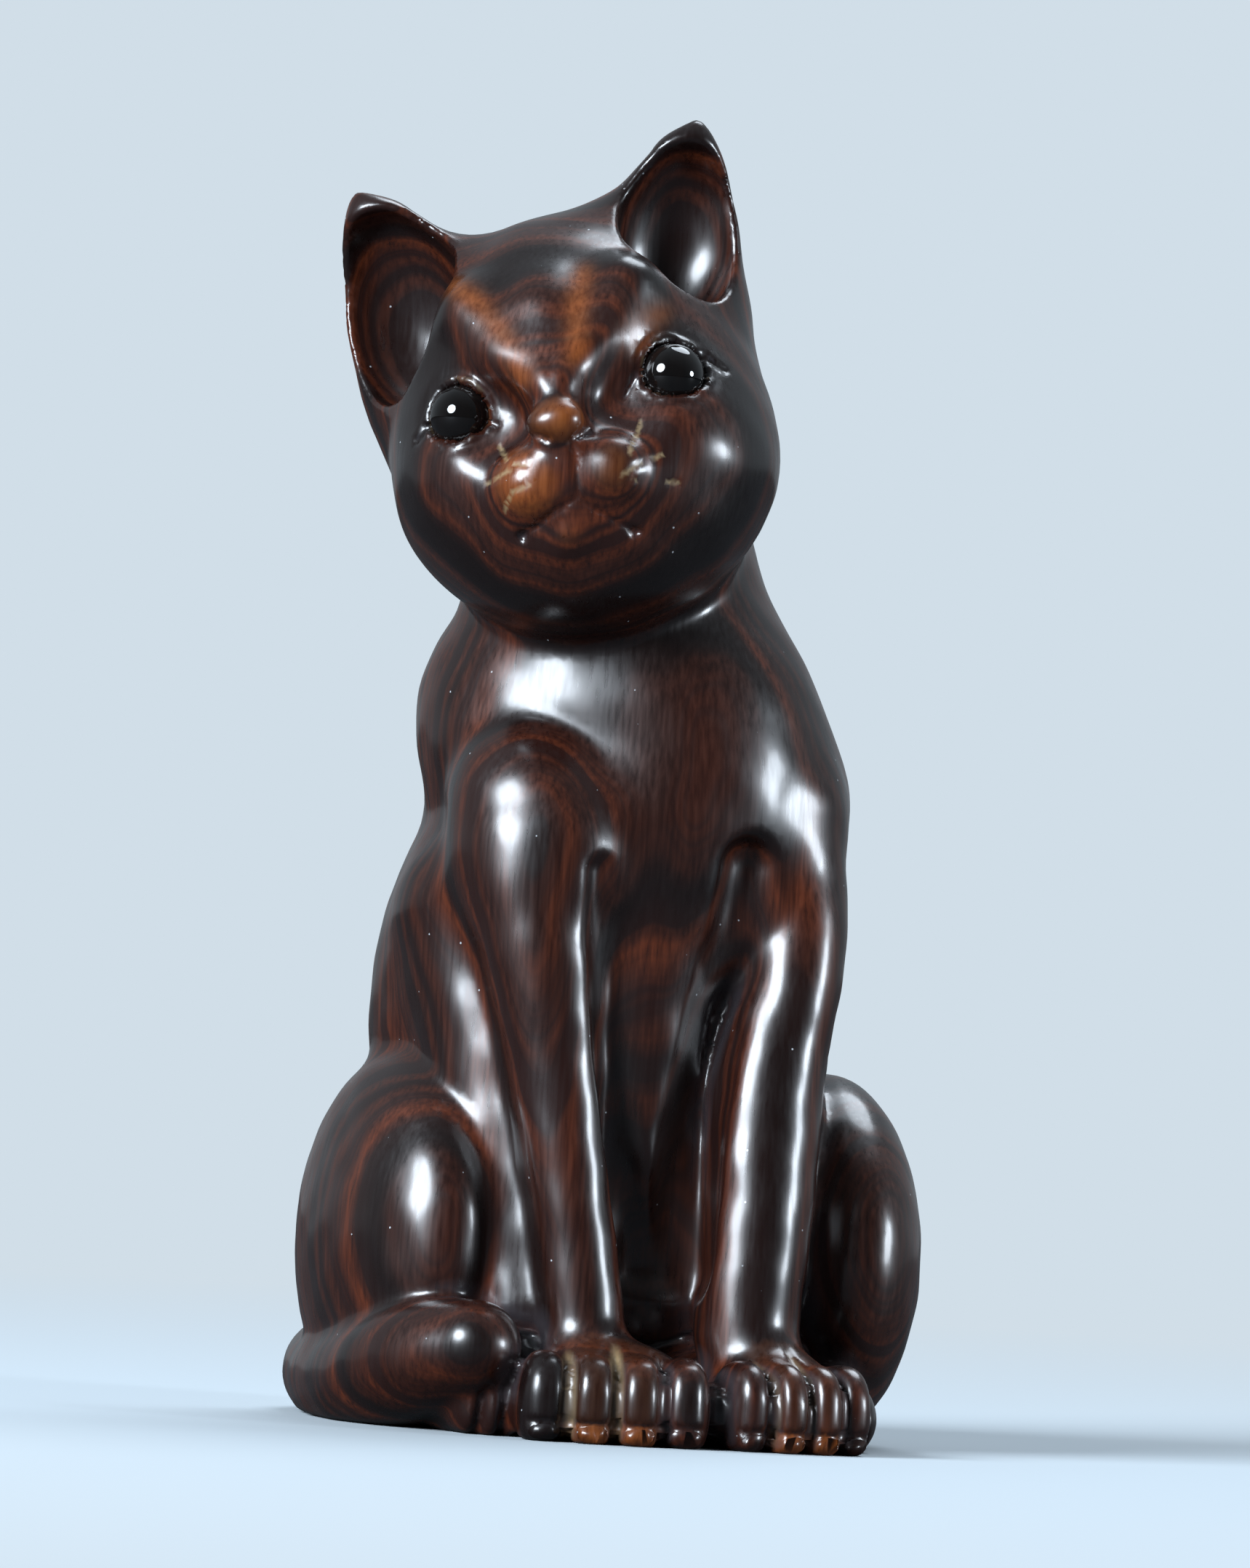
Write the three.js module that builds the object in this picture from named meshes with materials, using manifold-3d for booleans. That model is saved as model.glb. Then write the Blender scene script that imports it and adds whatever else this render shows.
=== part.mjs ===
// A seated cat carved from one block of dark wood, with two inlaid black eyes.
// Millimetres, +Z up. The chest faces -Y, +X is the cat's left, and the underside rests on Z = 0.
import * as THREE from "three";
import { mergeVertices } from "three/addons/utils/BufferGeometryUtils.js";
import Module from "manifold-3d";

// Head: its centre, its turn to the cat's right, its lift and its tilt, in degrees
const HEAD_AT = [-4.6, -3.4, 42.7];
const HEAD_YAW = -26;
const HEAD_LIFT = -3;
const HEAD_TILT = -13.5;

// Eyes: round inlays at [across, up] in the head's own frame, let into the face, with clear room all round
const EYE_RADIUS = 1.4;
const EYE_PROUD = 0.7;
const EYE_ROOM = 0.3;
const EYES = { right_eye: [-4.35, 1.2], left_eye: [4.75, 1.35] };

// Ears: root, tip and half width, in the head's own frame, with a thick root behind each leaf
const EARS = [
  { root: [-5.6, 0.4, 5.0], tip: [-7.85, -0.6, 12.3], half: 4.2 },
  { root: [4.6, 0.4, 6.6], tip: [7.1, -0.6, 12.7], half: 3.5 },
];
const EAR_FLATNESS = 1.4;
const EAR_POINT = 1.5;
const EAR_SUNK = 1.5;
const EAR_SHIFT = [0.2, -0.3];
const EAR_ROOT = { side: [-1.2, -0.3], front: [-1.0, -0.4], radii: [3.1, 0.9], short: 2.0, soft: 1.0 };
const EAR_HOLLOW = { front: 1.45, rise: 0.28, size: [0.79, 0.76, 0.63] };
const HOLLOW_TURNS = 28;
const EAR_SOFT = 2.0;

// Masses of the head as eggs: centre, half sizes and the soft join to what is already there
const SKULL = { at: [-0.2, 1.0, 2.2], size: [7.9, 7.6, 7.7] };
const CHEEK = { at: [3.2, -0.8, -1.6], size: [5.1, 6.3, 5.2], soft: 2.0 };
const JAW = { at: [0, -1.6, -4.8], size: [5.3, 5.5, 4.1], soft: 2.4 };
const MUZZLE = { at: [0.1, -5.2, -2.2], size: [3.7, 3.2, 2.9], soft: 1.6 };
const NOSE_BRIDGE = { from: [-0.1, -5.0, 4.6], to: [0, -7.7, 0.1], radii: [1.6, 1.15], soft: 1.6 };
const BROW = { from: [3.4, -4.4, 5.6], to: [0.9, -7.2, 1.5], radii: [1.2, 0.7], soft: 1.4 };
const EYE_HOLLOW = { at: [2.8, -8.2, 0.7], size: [1.3, 1.6, 1.5], soft: 1.8 };
const WHISKER_PADS = [
  { at: [-1.5, -7.2, -2.4], size: [1.7, 1.4, 1.6], soft: 0.5 },
  { at: [1.85, -7.1, -2.45], size: [1.45, 1.4, 1.5], soft: 0.5 },
];
const NOSE = { at: [-0.1, -8.3, -0.1], size: [1.2, 0.9, 0.85], soft: 0.4 };
const CHIN = { at: [-0.35, -6.2, -4.7], size: [1.2, 1.5, 1.2], soft: 0.6 };

// Masses of the trunk
const RUMP = { at: [0, 3.4, 7.5], size: [10, 10.3, 10.3] };
const BELLY = { at: [-1.3, 2.0, 18], size: [9.5, 6.9, 13], soft: 3.0 };
const RIBS = { at: [-1.3, -1.1, 28.6], size: [8.2, 5.7, 7.6], soft: 2.5 };
const NECK = { from: [-0.8, -0.7, 32], to: [-2.6, -0.4, 39], radii: [6.7, 6.2], soft: 2.0 };
const WITHERS = { from: [-0.4, -0.2, 34.5], to: [4.1, -1.7, 27.4], radii: [4.3, 4.7], soft: 2.0 };
const SHOULDER_BLADE = { at: [-5.0, 1.3, 30.9], size: [4.7, 4.8, 5.0], soft: 2.0 };
const CHEST = { at: [1.0, -3.2, 27.2], size: [6.2, 5.7, 9.0], soft: 1.8 };
const SHOULDER_POINT = { at: [-5.5, -4.7, 24.6], size: [4.2, 4.3, 4.8], soft: 1.5 };
const BRISKET = { from: [-1.2, -4.4, 26], to: [-0.9, -5.6, 8.5], radii: [4.1, 1.7], soft: 1.5 };
const FLANKS = [
  { from: [-7.0, -1.0, 22], to: [-5.9, -6.2, 5.5], radii: [3.9, 1.9], soft: 1.4 },
  { from: [5.2, -1.0, 22], to: [4.6, -6.2, 5.5], radii: [3.9, 1.9], soft: 1.4 },
];

// Forelegs and the grooves beside them: rows of [x, y, radius] at even heights from low to high
const LEGS = [
  {
    low: 4.6,
    high: 27,
    rows: [
      [-3.9, -8.7, 1.75],
      [-4.6, -8.0, 1.8],
      [-5.4, -7.2, 2.1],
      [-6.2, -6.4, 2.7],
      [-6.4, -4.3, 3.3],
    ],
    paw: { at: [-3.2, -10.8, 1.8], heading: -12, width: 1.05 },
  },
  {
    low: 4.8,
    high: 27,
    rows: [
      [3.4, -8.7, 2.25],
      [3.85, -8.1, 2.35],
      [4.25, -7.2, 2.4],
      [5.4, -6.6, 2.1],
      [5.0, -5.0, 2.6],
    ],
    paw: { at: [4.3, -10.8, 1.8], heading: 10, width: 0.86 },
  },
];
const LEG_GROOVES = [
  {
    low: 7.5,
    high: 24.2,
    rows: [
      [-1.0, -7.9, 1.6],
      [-2.6, -8.2, 1.0],
      [-3.6, -8.6, 0.75],
      [-4.4, -9.0, 0.5],
    ],
  },
  {
    low: 7.5,
    high: 24.7,
    rows: [
      [0.4, -7.9, 1.6],
      [0.7, -8.0, 1.3],
      [1.5, -8.3, 1.1],
      [2.4, -8.8, 1.3],
    ],
  },
];
const GOUGE_STEPS = 14;
const GOUGE_TURNS = 14;
const GOUGE_END = 3;
const LEG_SOFT = 1.1;
const PAW_SOFT = 1.2;

// Paws: a flat egg with four toes fanned across its front
const PAW_SIZE = [3.6, 3.6, 2.6];
const PAW_SET_BACK = 0.8;
const TOES = 4;
const TOE_PITCH = 1.9;
const TOE_SIZE = [1.14, 1.9, 2.2];
const TOE_REACH = -1.7;
const TOE_FAN = 0.25;
const TOE_DROP = -0.2;
const TOE_SOFT = 0.3;

// Haunches, mirrored, each with its long hind foot
const HAUNCH = { at: [9.4, 0.6, 7.9], size: [4.1, 8.2, 8.2] };
const HIND_FOOT = { from: [8.6, -2.0, 1.5], to: [7.6, -8.2, 1.4], radii: [2, 2], soft: 0.8 };
const HAUNCH_SOFT = 0.7;

// Tail: from the rump round the cat's right side, with its tip on the hind foot, as [x, y, z, radius]
const TAIL = [
  [3, 12.4, 2.2, 2.6],
  [-5, 12.4, 2.0, 2.5],
  [-9.0, 9.2, 1.9, 2.4],
  [-10.6, 4.0, 1.8, 2.4],
  [-10.9, -1.5, 2.0, 2.6],
  [-10.2, -6.0, 3.0, 2.6],
  [-8.8, -9.0, 3.7, 2.0],
];
const TAIL_STEPS = 5;
const TAIL_SOFT = 0.5;
const HEAD_SOFT = 1.0;

// Lattice of cubes that the skin is woven on, halved over the face, the ears and the paws
const CUBE = 1.84;
const LATTICE_LOW = [-17, -17.2, -2.9];
const LATTICE_CUBES = [18, 19, 34];
const FACE_FRONT = -6.4;
const EARS_FROM = 46.6;
const HEAD_FROM = 34.4;
const PAWS_FRONT = -8.2;
const PAWS_TOP = 5.4;
const BELOW_GROUND = 1;
const SETTLE_STEPS = 6;
const CELL_MARGIN = 0.05;
const SLOPE_STEP = 0.02;

const WOOD = { color: "#3b2218", roughness: 0.32, metalness: 0 };
const BLACK_INLAY = { color: "#0c0b0b", roughness: 0.08, metalness: 0 };

// Soft union of two forms, rounded over a width k
function join(a, b, k) {
  const h = Math.max(k - Math.abs(a - b), 0) / k;
  return Math.min(a, b) - (h * h * k) / 4;
}

// A form with another carved out of it, the edge eased over a width k
function carve(a, b, k) {
  return -join(-a, b, k);
}

// Distance to an egg with half sizes along the axes, pointed where its power is less than 2
function egg(p, { at, size, power = 2 }) {
  const q = p.map((v, i) => Math.abs(v - at[i]) / size[i]);
  const reach = Math.max(q.reduce((sum, v) => sum + v ** power, 0) ** (1 / power), 1e-6);
  const slope = Math.hypot(...q.map((v, i) => (v / reach) ** (power - 1) / size[i]));
  return (reach - 1) / slope;
}

// Distance to a rod with round ends that tapers from one radius to the other
function rod(p, { from, to, radii }) {
  const run = from.map((v, i) => to[i] - v);
  const along = p.reduce((sum, v, i) => sum + (v - from[i]) * run[i], 0);
  const t = Math.min(Math.max(along / run.reduce((sum, v) => sum + v * v, 0), 0), 1);
  const gap = Math.hypot(...p.map((v, i) => v - from[i] - t * run[i]));
  return gap - (radii[0] + (radii[1] - radii[0]) * t);
}

// A smooth curve through rows of numbers, at s rows from the first
function alongRows(rows, s) {
  const i = Math.min(Math.floor(s), rows.length - 2);
  const t = s - i;
  const row = (n) => rows[Math.min(Math.max(n, 0), rows.length - 1)];
  const [a, b, c, d] = [row(i - 1), row(i), row(i + 1), row(i + 2)];
  return b.map((_, n) => {
    const third = 3 * (b[n] - c[n]) + d[n] - a[n];
    const second = 2 * a[n] - 5 * b[n] + 4 * c[n] - d[n];
    return b[n] + 0.5 * t * (c[n] - a[n] + t * (second + t * third));
  });
}

// The row of [x, y, radius] at one height of a leg or a groove, whose rows stand at even heights
function rowAt({ low, high, rows }, z) {
  const share = Math.min(Math.max((z - low) / (high - low), 0), 1);
  return alongRows(rows, share * (rows.length - 1));
}

// Distance to a round column
function column([x, y, z], shape) {
  const [cx, cy, radius] = rowAt(shape, z);
  const h = Math.min(Math.max(z, shape.low), shape.high);
  return Math.hypot(x - cx, y - cy, z - h) - radius;
}

// A three.js primitive as a closed mesh with shared vertices
function closed(geometry) {
  geometry.deleteAttribute("normal");
  geometry.deleteAttribute("uv");
  return mergeVertices(geometry);
}

const mirrored = ([x, y, z]) => [Math.abs(x), y, z];

const headFrame = new THREE.Object3D();
headFrame.position.set(...HEAD_AT);
headFrame.rotation.set(
  THREE.MathUtils.degToRad(HEAD_LIFT),
  THREE.MathUtils.degToRad(HEAD_TILT),
  THREE.MathUtils.degToRad(HEAD_YAW),
  "ZXY",
);
headFrame.updateMatrixWorld();

// One ear as a pointed leaf on a thick root, with the solid that is scooped from its front
function earForms({ root, tip, half }) {
  const foot = new THREE.Vector3(...root);
  const up = new THREE.Vector3(...tip).sub(foot);
  const tall = up.length();
  up.normalize();
  const face = new THREE.Vector3(0.45 * Math.sign(root[0]), -1, 0);
  face.addScaledVector(up, -face.dot(up)).normalize();
  const out = new THREE.Vector3().crossVectors(up, face);
  out.multiplyScalar(Math.sign(out.x * root[0]));
  const leaf = { at: [0, 0, -EAR_SUNK], size: [half, half, tall + EAR_SUNK], power: EAR_POINT };
  const { side, front, radii, short, soft } = EAR_ROOT;
  const stem = { from: [side[0], front[0], 0], to: [side[1], front[1], tall - short], radii };
  const hollow = new THREE.Object3D();
  hollow.matrixAutoUpdate = false;
  hollow.matrix.makeBasis(out, face, up).setPosition(foot);
  const scoop = closed(new THREE.SphereGeometry(1, HOLLOW_TURNS, HOLLOW_TURNS / 2));
  scoop.scale(half * EAR_HOLLOW.size[0], half * EAR_HOLLOW.size[1], tall * EAR_HOLLOW.size[2]);
  scoop.translate(0, EAR_HOLLOW.front, tall * EAR_HOLLOW.rise);
  if (hollow.matrix.determinant() < 0) scoop.index.array.reverse();
  scoop.applyMatrix4(hollow.matrix).applyMatrix4(headFrame.matrixWorld);
  function form(q) {
    const offset = new THREE.Vector3(...q).sub(foot);
    const e = [offset.dot(out), offset.dot(face), offset.dot(up)];
    const girth = Math.hypot(e[0] - EAR_SHIFT[0], EAR_FLATNESS * e[1] - EAR_SHIFT[1]);
    return join(egg([girth, 0, e[2]], leaf), rod(e, stem), soft);
  }
  return { form, scoop };
}
const ears = EARS.map(earForms);

function headForm(p) {
  const q = headFrame.worldToLocal(new THREE.Vector3(...p)).toArray();
  const m = mirrored(q);
  let d = egg(q, SKULL);
  d = join(d, egg(m, CHEEK), CHEEK.soft);
  d = join(d, egg(q, JAW), JAW.soft);
  d = join(d, egg(q, MUZZLE), MUZZLE.soft);
  d = join(d, rod(q, NOSE_BRIDGE), NOSE_BRIDGE.soft);
  d = join(d, rod(m, BROW), BROW.soft);
  d = carve(d, egg(m, EYE_HOLLOW), EYE_HOLLOW.soft);
  for (const pad of WHISKER_PADS) d = join(d, egg(q, pad), pad.soft);
  d = join(d, egg(q, NOSE), NOSE.soft);
  d = join(d, egg(q, CHIN), CHIN.soft);
  for (const ear of ears) d = join(d, ear.form(q), EAR_SOFT);
  return d;
}

function trunkForm(p) {
  let d = egg(p, RUMP);
  d = join(d, egg(p, BELLY), BELLY.soft);
  d = join(d, egg(p, RIBS), RIBS.soft);
  d = join(d, rod(p, NECK), NECK.soft);
  d = join(d, rod(p, WITHERS), WITHERS.soft);
  d = join(d, egg(p, SHOULDER_BLADE), SHOULDER_BLADE.soft);
  d = join(d, egg(p, CHEST), CHEST.soft);
  d = join(d, egg(p, SHOULDER_POINT), SHOULDER_POINT.soft);
  d = join(d, rod(p, BRISKET), BRISKET.soft);
  for (const flank of FLANKS) d = join(d, rod(p, flank), flank.soft);
  return d;
}

function pawForm([x, y, z], { at, heading, width }) {
  const turn = THREE.MathUtils.degToRad(heading);
  const [dx, dy] = [x - at[0], y - at[1]];
  const q = [
    (dx * Math.cos(turn) + dy * Math.sin(turn)) / width,
    dy * Math.cos(turn) - dx * Math.sin(turn),
    z - at[2],
  ];
  let d = egg(q, { at: [0, PAW_SET_BACK, 0], size: PAW_SIZE });
  for (let i = 0; i < TOES; i++) {
    const s = i - (TOES - 1) / 2;
    const toe = [s * TOE_PITCH, TOE_REACH + TOE_FAN * s * s, TOE_DROP];
    d = join(d, egg(q, { at: toe, size: TOE_SIZE }), TOE_SOFT);
  }
  return d;
}

const forelegs = (p) => Math.min(...LEGS.map((leg) => join(column(p, leg), pawForm(p, leg.paw), PAW_SOFT)));

function haunchForm(p) {
  const m = mirrored(p);
  return join(egg(m, HAUNCH), rod(m, HIND_FOOT), HIND_FOOT.soft);
}

const tailRods = [];
for (let i = 0; i < (TAIL.length - 1) * TAIL_STEPS; i++) {
  const [a, b] = [i, i + 1].map((n) => alongRows(TAIL, n / TAIL_STEPS));
  tailRods.push({ from: a.slice(0, 3), to: b.slice(0, 3), radii: [a[3], b[3]] });
}
const tailForm = (p) => Math.min(...tailRods.map((piece) => rod(p, piece)));

// The whole carving as one distance, negative inside the wood
function catForm(p) {
  let d = join(trunkForm(p), forelegs(p), LEG_SOFT);
  d = join(d, haunchForm(p), HAUNCH_SOFT);
  d = join(d, headForm(p), HEAD_SOFT);
  d = join(d, tailForm(p), TAIL_SOFT);
  return Math.max(d, -BELOW_GROUND - p[2]);
}

const finelyCut = ([, y, z]) =>
  z > EARS_FROM || (z > HEAD_FROM && y < FACE_FRONT) || (z < PAWS_TOP && y < PAWS_FRONT);

const CORNERS = Array.from({ length: 8 }, (_, n) => [n & 1, (n >> 1) & 1, n >> 2]);
const AXES = [
  [1, 0, 0],
  [0, 1, 0],
  [0, 0, 1],
];
const CELL_FACES = AXES.flatMap((_, axis) => {
  const [u, v, w] = [1 << axis, 1 << (axis + 1) % 3, 1 << (axis + 2) % 3];
  return [0, w].map((base) => [base, base | u, base | u | v, base | v]);
});

// Whether the corners of a cell that are on one side hang together along the cell's edges
function oneGroup(inside, side) {
  const corners = [...inside.keys()].filter((n) => inside[n] === side);
  if (corners.length < 2) return true;
  const seen = new Set([corners[0]]);
  for (const n of seen) {
    for (const bit of [1, 2, 4]) {
      if (inside[n ^ bit] === side) seen.add(n ^ bit);
    }
  }
  return seen.size === corners.length;
}

// A face with its corners in and out by turns would pinch the skin
function checkered(inside) {
  return CELL_FACES.some((face) => {
    const [a, b, c, d] = face.map((corner) => inside[corner]);
    return a === c && b === d && a !== b;
  });
}

// Closed skin of a form: one vertex in every cell that the surface crosses, settled onto the form
function skinOf(form, low, cubes, cube, fine) {
  const step = cube / 2;
  const count = cubes.map((n) => 2 * n + 1);
  const idOf = ([i, j, k]) => i + count[0] * (j + count[1] * k);
  const place = (at) => at.map((n, axis) => low[axis] + n * step);
  const shift = (at, axis, by) => at.map((n, i) => (i === axis ? n + by : n));

  const depths = new Map();
  function depth(at) {
    const id = idOf(at);
    if (!depths.has(id)) depths.set(id, form(place(at)));
    return depths.get(id);
  }

  // A cell is a whole cube, or an eighth of one where the carving is fine
  const split = new Map();
  function cellAt(at) {
    const corner = at.map((n) => n - (n % 2));
    const id = idOf(corner);
    if (!split.has(id)) split.set(id, fine(place(corner.map((n) => n + 1))));
    return split.get(id) ? { at, span: 1 } : { at: corner, span: 2 };
  }
  const cells = new Map();
  for (let k = 0; k < count[2] - 1; k++)
    for (let j = 0; j < count[1] - 1; j++)
      for (let i = 0; i < count[0] - 1; i++) {
        const cell = cellAt([i, j, k]);
        cells.set(idOf(cell.at), { ...cell, sum: [0, 0, 0], crossings: 0 });
      }

  // Gaps narrower than a cell are filled, so that the skin never pinches
  for (let filled = true; filled; ) {
    filled = false;
    for (const { at, span } of cells.values()) {
      const corners = CORNERS.map((corner) => at.map((n, axis) => n + span * corner[axis]));
      const inside = corners.map((corner) => depth(corner) < 0);
      if (oneGroup(inside, true) && oneGroup(inside, false) && !checkered(inside)) continue;
      const open = corners.filter((corner) => depth(corner) >= 0);
      const nearest = open.reduce((best, corner) => (depth(corner) < depth(best) ? corner : best));
      depths.set(idOf(nearest), -1e-3);
      filled = true;
    }
  }

  // Each edge that the surface crosses has a face, through the vertices of the cells around it
  const rings = [];
  for (let k = 1; k < count[2] - 2; k++)
    for (let j = 1; j < count[1] - 2; j++)
      for (let i = 1; i < count[0] - 2; i++)
        AXES.forEach((_, axis) => {
          const [u, v] = [(axis + 1) % 3, (axis + 2) % 3];
          const start = [i, j, k];
          const beside = shift(start, u, -1);
          const around = [start, beside, shift(beside, v, -1), shift(start, v, -1)].map(cellAt);
          const span = Math.min(...around.map((cell) => cell.span));
          if (span === 2 && start.some((n) => n % 2)) return;
          const end = shift(start, axis, span);
          const [a, b] = [depth(start), depth(end)];
          if (a < 0 === b < 0) return;
          const [from, to] = [place(start), place(end)];
          const ring = [...new Set(around.map((cell) => idOf(cell.at)))];
          for (const id of ring) {
            const cell = cells.get(id);
            cell.crossings += 1;
            cell.sum = cell.sum.map((s, n) => s + from[n] + (a / (a - b)) * (to[n] - from[n]));
          }
          rings.push(a < 0 ? ring : ring.reverse());
        });

  const vertexOf = new Map();
  const points = [];
  for (const [id, { at, span, sum, crossings }] of cells) {
    if (!crossings) continue;
    const start = sum.map((s) => s / crossings);
    vertexOf.set(id, points.length);
    const [low, high] = [at.map((n) => n + CELL_MARGIN), at.map((n) => n + span - CELL_MARGIN)];
    points.push(settled(form, start, place(low), place(high)));
  }
  const gap = (m, n) => Math.hypot(...points[m].map((value, i) => value - points[n][i]));
  const faces = [];
  for (const ring of rings) {
    const [a, b, c, d] = ring.map((id) => vertexOf.get(id));
    if (d === undefined) faces.push(a, b, c);
    else if (gap(a, c) < gap(b, d)) faces.push(a, b, c, a, c, d);
    else faces.push(a, b, d, b, c, d);
  }
  return new THREE.BufferGeometry()
    .setAttribute("position", new THREE.BufferAttribute(new Float32Array(points.flat()), 3))
    .setIndex(faces);
}

// A point moved down the form's slope until it lies on the surface, kept in its own cell
function settled(form, start, low, high) {
  let p = start;
  for (let n = 0; n < SETTLE_STEPS; n++) {
    const d = form(p);
    const slope = p.map((_, axis) => {
      const nudged = (by) => p.map((v, i) => (i === axis ? v + by : v));
      return (form(nudged(SLOPE_STEP)) - form(nudged(-SLOPE_STEP))) / (2 * SLOPE_STEP);
    });
    const steep = Math.max(slope.reduce((sum, v) => sum + v * v, 0), 0.05);
    p = p.map((v, i) => Math.min(Math.max(v - (d * slope[i]) / steep, low[i]), high[i]));
  }
  return p;
}

const wasm = await Module();
wasm.setup();

function solidOf(geometry) {
  return new wasm.Manifold(
    new wasm.Mesh({
      numProp: 3,
      vertProperties: new Float32Array(geometry.getAttribute("position").array),
      triVerts: new Uint32Array(geometry.index.array),
    }),
  );
}

function geometryOf(solid) {
  const mesh = solid.getMesh();
  return new THREE.BufferGeometry()
    .setAttribute("position", new THREE.BufferAttribute(new Float32Array(mesh.vertProperties), 3))
    .setIndex(new THREE.BufferAttribute(new Uint32Array(mesh.triVerts), 1));
}

const ball = (radius) => closed(new THREE.SphereGeometry(radius, 16, 10));

// A groove as a solid turned about Z with round ends, then bent onto the centres of its rows
function gouge(groove) {
  const { low, high, rows } = groove;
  const profile = [];
  const ends = [rows[0][2], rows[rows.length - 1][2]];
  for (let n = 0; n < GOUGE_END; n++) {
    const angle = (n / GOUGE_END) * (Math.PI / 2);
    profile.push(new THREE.Vector2(ends[0] * Math.sin(angle), low - ends[0] * Math.cos(angle)));
  }
  for (let n = 0; n <= GOUGE_STEPS; n++) {
    const z = low + (n / GOUGE_STEPS) * (high - low);
    profile.push(new THREE.Vector2(rowAt(groove, z)[2], z));
  }
  for (let n = GOUGE_END - 1; n >= 0; n--) {
    const angle = (n / GOUGE_END) * (Math.PI / 2);
    profile.push(new THREE.Vector2(ends[1] * Math.sin(angle), high + ends[1] * Math.cos(angle)));
  }
  const turned = closed(new THREE.LatheGeometry(profile, GOUGE_TURNS).rotateX(Math.PI / 2));
  const position = turned.getAttribute("position");
  for (let n = 0; n < position.count; n++) {
    const [cx, cy] = rowAt(groove, position.getZ(n));
    position.setX(n, position.getX(n) + cx);
    position.setY(n, position.getY(n) + cy);
  }
  return turned;
}

// Centre of an eye in the head's frame: as deep in the face as leaves its front proud of it
function eyeCentre([across, up]) {
  const wanted = EYE_PROUD - EYE_RADIUS;
  let [front, back] = [-12, 0];
  for (let n = 0; n < 40; n++) {
    const middle = (front + back) / 2;
    const p = headFrame.localToWorld(new THREE.Vector3(across, middle, up)).toArray();
    if (headForm(p) > wanted) front = middle;
    else back = middle;
  }
  return new THREE.Vector3(across, back, up);
}

function catBody(eyeCentres) {
  const skin = skinOf(catForm, LATTICE_LOW, LATTICE_CUBES, CUBE, finelyCut);
  const ground = closed(new THREE.BoxGeometry(80, 80, 20).translate(0, 0, -10));
  let wood = solidOf(skin).subtract(solidOf(ground));
  for (const centre of eyeCentres) {
    const place = headFrame.localToWorld(centre.clone());
    const socket = ball(EYE_RADIUS + EYE_ROOM).translate(place.x, place.y, place.z);
    wood = wood.subtract(solidOf(socket));
  }
  const scoops = ears.map((ear) => ear.scoop);
  const gouges = LEG_GROOVES.map(gouge);
  for (const cut of [...scoops, ...gouges]) {
    wood = wood.subtract(solidOf(cut));
  }
  return geometryOf(wood);
}

const group = new THREE.Group();
const eyeCentres = Object.values(EYES).map(eyeCentre);
const body = new THREE.Mesh(catBody(eyeCentres), new THREE.MeshStandardMaterial(WOOD));
body.name = "cat_body";
group.add(body, headFrame);
Object.keys(EYES).forEach((name, n) => {
  const eye = new THREE.Mesh(ball(EYE_RADIUS), new THREE.MeshStandardMaterial(BLACK_INLAY));
  eye.name = name;
  eye.position.copy(eyeCentres[n]);
  headFrame.add(eye);
});

export default group;
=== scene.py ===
import math

import bmesh
import bpy
import numpy as np
from mathutils import Matrix, Vector


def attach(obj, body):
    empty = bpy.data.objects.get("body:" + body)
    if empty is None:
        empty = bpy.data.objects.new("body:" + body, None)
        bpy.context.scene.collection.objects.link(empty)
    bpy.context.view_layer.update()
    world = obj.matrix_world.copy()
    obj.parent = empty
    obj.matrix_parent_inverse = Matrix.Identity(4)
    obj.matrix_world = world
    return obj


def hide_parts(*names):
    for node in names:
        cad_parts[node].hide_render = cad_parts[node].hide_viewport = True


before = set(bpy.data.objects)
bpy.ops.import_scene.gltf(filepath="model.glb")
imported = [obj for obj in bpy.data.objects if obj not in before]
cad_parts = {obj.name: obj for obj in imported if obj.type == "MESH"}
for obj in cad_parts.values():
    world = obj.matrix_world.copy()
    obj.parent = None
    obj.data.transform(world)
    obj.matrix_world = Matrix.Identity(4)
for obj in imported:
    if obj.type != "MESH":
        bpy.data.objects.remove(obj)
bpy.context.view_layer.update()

# Trunk: rump, belly, chest, neck and shoulders of a seated cat, all left in one billet of dark rosewood.
# Every mass is an egg or a tapered rod in millimetres, with a soft valley where it runs into its neighbour.
# The chest faces -Y, the cat's left is at +X, and the underside rests on Z = 0.
MM = 0.001
FAR_OFF = 9.0
FLANKS = [((-7.0, -1.0, 22), (-5.9, -6.2, 5.5)), ((5.2, -1.0, 22), (4.6, -6.2, 5.5))]


def soft_join(a, b, width):
    overlap = np.maximum(width - np.abs(a - b), 0) / width
    return np.minimum(a, b) - overlap**2 * width / 4


def carve(a, b, width):
    return -soft_join(-a, b, width)


def egg(p, at, size, boxiness=2.0):
    q = np.abs((p - at) / size)
    reach = np.maximum((q**boxiness).sum(1) ** (1 / boxiness), 1e-6)
    slope = np.linalg.norm((q / reach[:, None]) ** (boxiness - 1) / size, axis=1)
    return (reach - 1) / slope


def rod(p, start, end, radii):
    run = np.subtract(end, start)
    share = np.clip(((p - start) @ run) / (run @ run), 0, 1)
    gap = np.linalg.norm(p - start - share[:, None] * run, axis=1)
    return gap - (radii[0] + (radii[1] - radii[0]) * share)


def only_where(near, p, shape):
    distance = np.full(len(p), FAR_OFF)
    distance[near] = shape(p[near])
    return distance


def mirrored(p):
    return p * np.sign(p[:, :1]) ** [1, 0, 0]


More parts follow.
